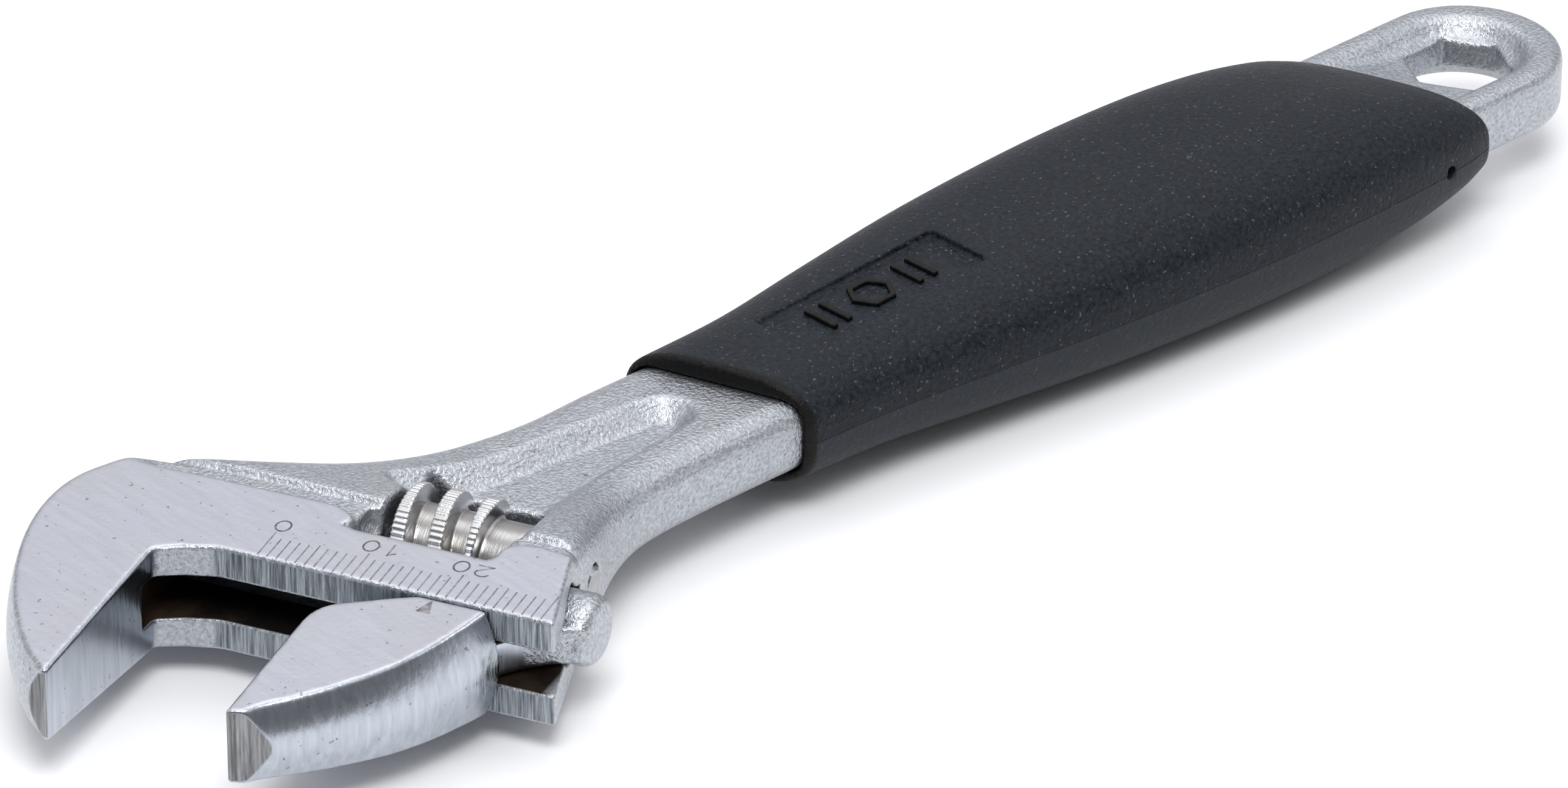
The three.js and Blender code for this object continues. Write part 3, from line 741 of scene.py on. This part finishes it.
def chrome_masks(nodes, tip, brushed_to_n):
    """Where the metal is ground, brushed, milled, at the jaw's tip or inside the slot."""
    u, n, z = nodes.head_place()
    height = nodes.math("ABSOLUTE", z)
    normal = nodes.add("ShaderNodeSeparateXYZ", {0: nodes.add("ShaderNodeNewGeometry").outputs["Normal"]})
    level = nodes.math("ABSOLUTE", normal.outputs["Z"])

    face = nodes.math("ADD", nodes.math("MULTIPLY", n, FACE_TAPER), FACE_HALF)
    at_face = nodes.ramp(nodes.math("SUBTRACT", height, face), -0.16, -0.06)
    ground = nodes.both(at_face, nodes.ramp(level, 0.9, 0.98))
    on_jaw = nodes.both(nodes.ramp(n, brushed_to_n + 0.4, brushed_to_n - 0.4), nodes.ramp(u, -10.7, -10.2))
    brushed = nodes.both(nodes.ramp(level, 0.93, 0.85), on_jaw)

    tip_u, tip_n, tip_slope = tip
    tip_line = nodes.math("MULTIPLY", nodes.math("SUBTRACT", u, tip_u), tip_slope)
    tip_line = nodes.math("ADD", tip_line, tip_n)
    on_tip = nodes.ramp(nodes.math("SUBTRACT", n, tip_line), 0.22, 0.12)
    on_bar = nodes.both(nodes.ramp(n, -3.2, -2.6), nodes.ramp(u, -4.9, -4.3))
    in_mouth = nodes.both(nodes.ramp(n, 0.15, 0.05), nodes.ramp(level, 0.3, 0.15))
    milled = nodes.both(in_mouth, nodes.math("MAXIMUM", on_bar, on_tip))

    in_slot = nodes.both(nodes.ramp(height, SLOT_HALF + 0.16, SLOT_HALF + 0.06),
                         nodes.ramp(n, SLOT_FRONT_N - 0.3, SLOT_FRONT_N + 0.3))
    in_slot = nodes.both(in_slot, nodes.ramp(n, CREST_N - 0.6, CREST_N - 1.0))
    in_slot = nodes.both(in_slot, nodes.ramp(u, HEAD_END_U - 0.2, HEAD_END_U - 1.5))
    return ground, brushed, milled, on_tip, in_slot


def mill_marks(nodes):
    """Upright streaks left by a cutter, as a texture."""
    u, n, z = nodes.head_place()
    place = nodes.add("ShaderNodeCombineXYZ", {
        0: u, 1: nodes.math("MULTIPLY", n, 0.25), 2: nodes.math("MULTIPLY", z, 0.05)})
    marks = nodes.add("ShaderNodeTexNoise", {
        "Vector": place.outputs[0], "Scale": 2.6, "Detail": 5.0, "Roughness": 0.65})
    return marks.outputs["Fac"]


def chrome_material(name, tip, brushed_to_n, shaded_slot):
    """Satin chrome: ground faces, blasted forging, milled edges and, where shaded_slot is set, the slot
    painted near black with a brown tint, as painted shade inside it, and made rough and not metallic.

    tip is the plane of the jaw's cut-off tip: its u and n, and its slope. The jaw's sides are brushed
    from the tip back to brushed_to_n."""
    nodes = Nodes(name)
    ground, brushed, milled, on_tip, in_slot = chrome_masks(nodes, tip, brushed_to_n)
    # where the slot gets painted shade, on the body only
    slot = nodes.math("MULTIPLY", in_slot, 1.0 if shaded_slot else 0.0)
    clouds = nodes.noise(90.0, 4.0)
    grain = nodes.noise(2600.0, 3.0)
    pits = nodes.ramp(nodes.noise(1500.0, 2.0), 0.68, 0.74, 0.0, 0.75)
    level_streaks = nodes.noise(1500.0, 4.0, (1.0, 0.12, 1.0))
    upright_streaks = nodes.noise(1600.0, 4.0, (1.0, 1.0, 0.07))
    marks = mill_marks(nodes)

    forged = nodes.shades(grain, 0.3, 0.7, FORGED)
    forged = nodes.mix(nodes.ramp(clouds, 0.35, 0.7, 0.0, 0.25), forged, FORGED_CLOUD)
    polished = nodes.shades(level_streaks, 0.3, 0.7, GROUND)
    polished = nodes.mix(nodes.ramp(clouds, 0.4, 0.75, 0.0, 0.35), polished, GROUND_CLOUD)
    cut = nodes.shades(marks, 0.38, 0.62, MILLED)
    cut = nodes.mix(on_tip, cut, nodes.shades(marks, 0.38, 0.62, MILLED_TIP))
    colour = nodes.mix(brushed, forged, nodes.shades(upright_streaks, 0.3, 0.7, BRUSHED))
    colour = nodes.mix(ground, colour, polished)
    colour = nodes.mix(pits, colour, PIT)
    colour = nodes.mix(milled, colour, cut)
    # painted shade: the slot's inside near black, brown tinted
    colour = nodes.mix(slot, colour, nodes.shades(clouds, 0.4, 0.7, SLOT_BROWN_AND_SHADE))

    rough = nodes.towards(ground, 0.37, 0.36)
    rough = nodes.towards(brushed, rough, 0.24)
    rough = nodes.towards(slot, rough, 0.9)
    blasted_skin = nodes.bump(grain, 0.0002, 0.8)
    blasted_skin = nodes.bump(nodes.noise(900.0, 3.0), 0.0001, 0.3, blasted_skin)
    skin = nodes.mix(brushed, blasted_skin, nodes.bump(upright_streaks, 0.00006, 0.6))
    skin = nodes.mix(ground, skin, nodes.bump(nodes.noise(1800.0, 2.0), 0.00004, 0.4))
    skin = nodes.mix(milled, skin, nodes.bump(marks, 0.0004, 0.6))
    nodes.set(Base_Color=colour, Roughness=rough, Metallic=nodes.math("SUBTRACT", 1.0, slot), Normal=skin,
              Specular_IOR_Level=0.12)
    return nodes.material


def worm_material():
    """Polished turned steel with fine rings, and painted shade that makes the grooves darker."""
    nodes = Nodes("polished_steel")
    u, n, z = nodes.head_place()
    n_square = nodes.math("POWER", nodes.math("SUBTRACT", n, WORM_N), 2.0)
    z_square = nodes.math("POWER", nodes.math("ABSOLUTE", z), 2.0)
    radius = nodes.math("SQRT", nodes.math("ADD", n_square, z_square))
    groove_shade = nodes.ramp(radius, WORM_RADIUS - 0.6, WORM_ROOT + 0.3, 0.0, 0.55)
    rings = nodes.add("ShaderNodeTexNoise", {
        "Vector": nodes.add("ShaderNodeCombineXYZ", {0: u}).outputs[0], "Scale": 9.0, "Detail": 3.0})
    rings = rings.outputs["Fac"]
    tint = nodes.shades(nodes.noise(260.0), 0.35, 0.65, ((0.66, 0.67, 0.69, 1), (0.54, 0.53, 0.51, 1)))
    # painted shade: the grooves darker than the lands
    tint = nodes.mix(groove_shade, tint, (0.22, 0.205, 0.19, 1))
    nodes.set(Base_Color=tint, Roughness=nodes.ramp(rings, 0.3, 0.7, 0.16, 0.3), Metallic=1.0,
              Normal=nodes.bump(rings, 0.00008, 0.5))
    return nodes.material


def steel_material(name, grey, roughness):
    """Plain drawn or turned steel with faint streaks."""
    nodes = Nodes(name)
    streaks = nodes.noise(900.0, 4.0, (0.3, 1.0, 1.0))
    light = (grey, grey, grey + 0.01, 1)
    dark = tuple(0.7 * part for part in light[:3])
    nodes.set(Base_Color=nodes.shades(streaks, 0.3, 0.7, ((*dark, 1), light)),
              Roughness=nodes.ramp(streaks, 0.3, 0.7, roughness - 0.06, roughness + 0.06),
              Metallic=1.0, Normal=nodes.bump(streaks, 0.00005, 0.4))
    return nodes.material


RUBBER = (0.001, 0.0015, 0.003, 1), (0.012, 0.018, 0.028, 1)
RUBBER_SPECK = (0.24, 0.24, 0.25, 1)
# painted light: the grip's lower half is paler, as if lit by the bright floor
RUBBER_FLOOR_LIGHT = (0.030, 0.035, 0.042, 1)
# painted shade: the jet black of the grip's front face, which is dark there only from the light; the
# raised sign is jet black throughout with it
JET_BLACK_AND_FRONT_SHADE = (0.0008, 0.0008, 0.0008, 1)


def rubber_material(name, dark_front_width):
    """Black rubber with a fine grain, pale specks and a moulding line at mid-height.

    It is painted jet black for dark_front_width back from the grip's front, as painted shade on the grip's
    front face, and paler below the line, as painted light from the floor."""
    nodes = Nodes(name)
    z = nodes.along(Z_AXIS)
    slant = Vector((1, GRIP_SLANT, 0))
    past_front = nodes.math("ADD", nodes.along(slant), HEAD_IN_HANDLE.dot(slant) - GRIP_FRONT_X)
    grain = nodes.noise(1900.0, 3.0, None, 0.6)
    specks = nodes.ramp(nodes.noise(2400.0, 1.0), 0.68, 0.74, 0.0, 0.3)
    seam = nodes.ramp(nodes.math("ABSOLUTE", z), 0.22, 0.08)

    colour = nodes.mix(specks, nodes.shades(grain, 0.35, 0.65, RUBBER), RUBBER_SPECK)
    # painted light: paler below the moulding line, where the floor's light would fall
    colour = nodes.mix(nodes.ramp(z, 0.1, -0.4, 0.0, 0.5), colour, RUBBER_FLOOR_LIGHT)
    # painted shade: jet black on the grip's front face; the raised sign's width takes all of it in
    colour = nodes.mix(nodes.ramp(past_front, dark_front_width + 0.2, dark_front_width - 0.2), colour, JET_BLACK_AND_FRONT_SHADE)
    skin = nodes.bump(grain, 0.0002, 0.9)
    skin = nodes.bump(nodes.noise(520.0, 2.0), 0.0002, 0.2, skin)
    skin = nodes.bump(nodes.math("MULTIPLY", seam, -1.0), 0.0003, 0.8, skin)
    nodes.set(Base_Color=colour, Roughness=nodes.ramp(grain, 0.3, 0.7, 0.42, 0.58), Normal=skin,
              Specular_IOR_Level=0.22)
    return nodes.material


def ink_material():
    """The dark etching of the scale."""
    nodes = Nodes("etched_marks")
    wear = nodes.shades(nodes.noise(1700.0), 0.35, 0.7, ((0.16, 0.16, 0.17, 1), (0.36, 0.36, 0.38, 1)))
    nodes.set(Base_Color=wear, Roughness=0.6, Metallic=0.3)
    return nodes.material


# ---- Stage -------------------------------------------------------------------------------------
FLOOR_COLOUR = (0.93, 0.935, 0.945, 1)
FLOOR_GAP = 0.00005
FAR_SIDE = (0.69, 0.72, 0.0)
NEAR_SKY = ((0.0, 0.15), (0.45, 0.20), (0.75, 0.6), (0.95, 1.0))
FAR_SKY = ((0.0, 0.30), (0.30, 0.72), (0.55, 0.85), (0.95, 1.0))
CAMERA_LENS = 215.7
CAMERA_DISTANCE = 0.9397
CAMERA_AZIMUTH = 226.39
CAMERA_ELEVATION = 29.20
CAMERA_ROLL = 0.11
CAMERA_TARGET = Vector((-0.00907, -0.00181, END_ORIGIN.z * MM))


def make_floor():
    nodes = Nodes("pale_floor")
    nodes.set(Base_Color=FLOOR_COLOUR, Roughness=0.75)
    mesh = bpy.data.meshes.new("floor")
    reach = 3.0
    corners = [(-reach, -reach, 0), (reach, -reach, 0), (reach, reach, 0), (-reach, reach, 0)]
    mesh.from_pydata(corners, [], [(0, 1, 2, 3)])
    mesh.materials.append(nodes.material)
    floor = bpy.data.objects.new("floor", mesh)
    floor.location.z = -FLOOR_GAP
    bpy.context.scene.collection.objects.link(floor)


def soft_light(name, place, size, watts):
    """A rectangular panel that faces the wrench."""
    data = bpy.data.lights.new(name, "AREA")
    data.shape = "RECTANGLE"
    data.size, data.size_y = size
    data.energy = watts
    lamp = bpy.data.objects.new(name, data)
    lamp.location = place
    lamp.rotation_euler = (-Vector(place)).to_track_quat("-Z", "Y").to_euler()
    bpy.context.scene.collection.objects.link(lamp)


def sky_ramp(tree, height, stops):
    """A cool grey sky that brightens with height, given as (height, grey) stops."""
    ramp = tree.nodes.new("ShaderNodeValToRGB")
    tree.links.new(height, ramp.inputs["Fac"])
    elements = ramp.color_ramp.elements
    for place, _ in stops[1:-1]:
        elements.new(place)
    elements[0].position = stops[0][0]
    elements[-1].position = stops[-1][0]
    for element, (_, grey) in zip(elements, stops):
        element.color = (grey, grey, grey * 1.03, 1)
    return ramp.outputs["Color"]


def make_world():
    """A pale studio behind the wrench and a dim room on the near side, which gives the metal contrast."""
    world = bpy.data.worlds.new("studio")
    world.use_nodes = True
    tree = world.node_tree
    direction = tree.nodes.new("ShaderNodeTexCoord").outputs["Generated"]
    parts = tree.nodes.new("ShaderNodeSeparateXYZ")
    tree.links.new(direction, parts.inputs[0])
    towards_far = tree.nodes.new("ShaderNodeVectorMath")
    towards_far.operation = "DOT_PRODUCT"
    towards_far.inputs[1].default_value = FAR_SIDE
    tree.links.new(direction, towards_far.inputs[0])
    side = tree.nodes.new("ShaderNodeMapRange")
    side.interpolation_type = "SMOOTHSTEP"
    side.inputs["From Min"].default_value = -0.45
    side.inputs["From Max"].default_value = 0.35
    tree.links.new(towards_far.outputs["Value"], side.inputs["Value"])
    join = tree.nodes.new("ShaderNodeMix")
    join.data_type = "RGBA"
    tree.links.new(side.outputs[0], join.inputs["Factor"])
    tree.links.new(sky_ramp(tree, parts.outputs["Z"], NEAR_SKY), join.inputs[6])
    tree.links.new(sky_ramp(tree, parts.outputs["Z"], FAR_SKY), join.inputs[7])
    tree.links.new(join.outputs[2], tree.nodes["Background"].inputs["Color"])
    bpy.context.scene.world = world
    bpy.context.scene.view_settings.view_transform = "Standard"


def make_lights():
    soft_light("near_top_panel", (-0.32, -0.34, 0.85), (0.5, 0.4), 5.0)
    soft_light("top_panel", (0.25, 0.3, 0.95), (0.7, 0.5), 1.6)
    soft_light("side_panel", (-0.8, 0.5, 0.6), (0.5, 0.4), 0.8)
    soft_light("right_panel", (0.6, -0.5, 0.6), (0.3, 0.3), 0.7)


def make_camera():
    azimuth, elevation = math.radians(CAMERA_AZIMUTH), math.radians(CAMERA_ELEVATION)
    level = math.cos(elevation)
    towards = Vector((math.cos(azimuth) * level, math.sin(azimuth) * level, math.sin(elevation)))
    data = bpy.data.cameras.new("camera")
    data.lens = CAMERA_LENS
    data.clip_start = 0.05
    camera = bpy.data.objects.new("camera", data)
    roll = Matrix.Rotation(math.radians(CAMERA_ROLL), 3, "Z")
    turn = (-towards).to_track_quat("-Z", "Y").to_matrix() @ roll
    camera.matrix_world = Matrix.Translation(CAMERA_TARGET + CAMERA_DISTANCE * towards) @ turn.to_4x4()
    bpy.context.scene.collection.objects.link(camera)
    bpy.context.scene.camera = camera


def dress(node, material):
    """A better material on a CAD node that keeps its shape."""
    mesh = frame["nodes"][node].data
    mesh.materials.clear()
    mesh.materials.append(material)


make_camera()
make_world()
make_lights()
make_floor()
fixed_tip = (JAW_FACE_U, TIP_N[0], TIP_SLOPE[0])
sliding_tip = (JAW_FACE_U + OPENING, TIP_N[1], TIP_SLOPE[1])
make_body(chrome_material("body_chrome", fixed_tip, brushed_to_n=-2.6, shaded_slot=True))
make_jaw(chrome_material("jaw_chrome", sliding_tip, brushed_to_n=3.0, shaded_slot=False))
make_worm(worm_material())
make_grip(rubber_material("black_rubber", dark_front_width=0.9))
make_sign(rubber_material("jet_rubber", dark_front_width=PANEL_X - GRIP_FRONT_X + PANEL_LENGTH))
ink = ink_material()
make_marks("scale_marks", scale_patches(), "body", ink)
make_marks("jaw_pointer", [pointer_patch()], "jaw", ink)
dress("worm_pin", steel_material("pin_steel", grey=0.45, roughness=0.35))
dress("worm_spring", steel_material("spring_steel", grey=0.45, roughness=0.4))
